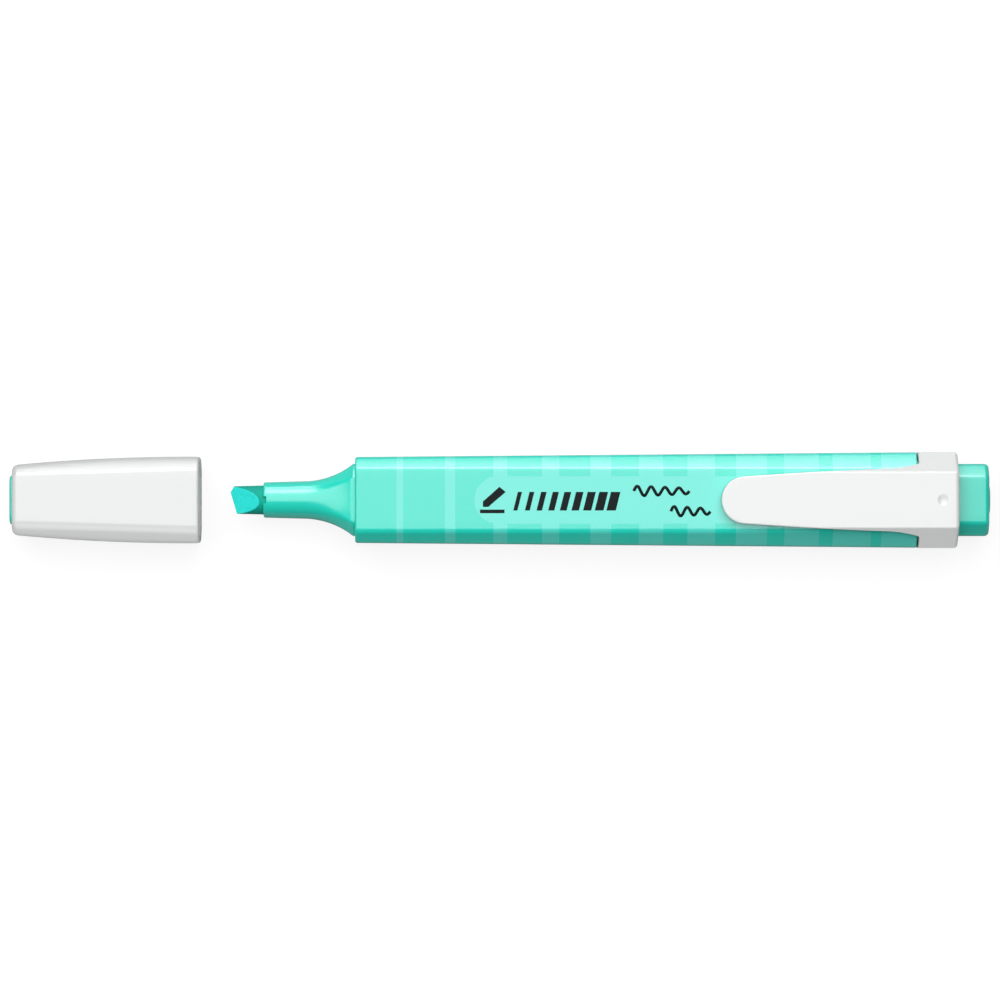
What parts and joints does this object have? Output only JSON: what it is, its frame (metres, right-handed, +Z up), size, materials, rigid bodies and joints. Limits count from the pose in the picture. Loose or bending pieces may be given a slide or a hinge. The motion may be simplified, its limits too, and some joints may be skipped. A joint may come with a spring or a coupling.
{
  "type": "highlighter pen",
  "caption": "Flat pocket highlighter with a chisel nib, a bevelled turquoise barrel, a white spring clip and a white cap pulled off and lying in line with the nib.",
  "frame": {"origin": "centre of the footprint on the table, with the pen lying on its broad back face and the cap off in front of the nib", "axes": "+X along the pen from the cap to the end plug, +Y across it, +Z up, out of the face that carries the clip"},
  "size_m": [0.1644, 0.0162, 0.014],
  "materials": {
    "turquoise_barrel": "polished moulded polypropylene with a pale printed pattern of bands",
    "turquoise_neck": "satin moulded polypropylene",
    "turquoise_plug": "satin moulded polypropylene, a deeper turquoise",
    "turquoise_liner": "satin moulded polypropylene",
    "white_cap": "satin white moulded polypropylene",
    "white_clip": "satin white moulded plastic with a moulding gate dimple",
    "nib_fibre": "bonded polyester fibre soaked with turquoise ink",
    "reservoir_fibre": "polyester fibre bundle soaked with turquoise ink",
    "reservoir_film": "thin clear wrapping film"
  },
  "bodies": {
    "pen": {"barrel": "turquoise_barrel", "neck": "turquoise_neck", "nib": "nib_fibre", "ink_reservoir": "reservoir_fibre", "reservoir_film": "reservoir_film", "rear_collar": "white_clip", "end_plug": "turquoise_plug"},
    "cap": {"cap": "white_cap", "inner_cap": "turquoise_liner"},
    "clip": {"clip_arm": "white_clip"}
  },
  "joints": [
    {"name": "cap_slide", "type": "slide", "parent": "pen", "child": "cap", "axis": [1, 0, 0], "range_m": [0, 0.026]},
    {"name": "clip_flex", "type": "hinge", "parent": "pen", "child": "clip", "pos_m": [0.06953, 0, 0.0131], "axis": [0, 1, 0], "range_deg": [0, 5], "stiffness_Nm_per_rad": 2.5}
  ]
}
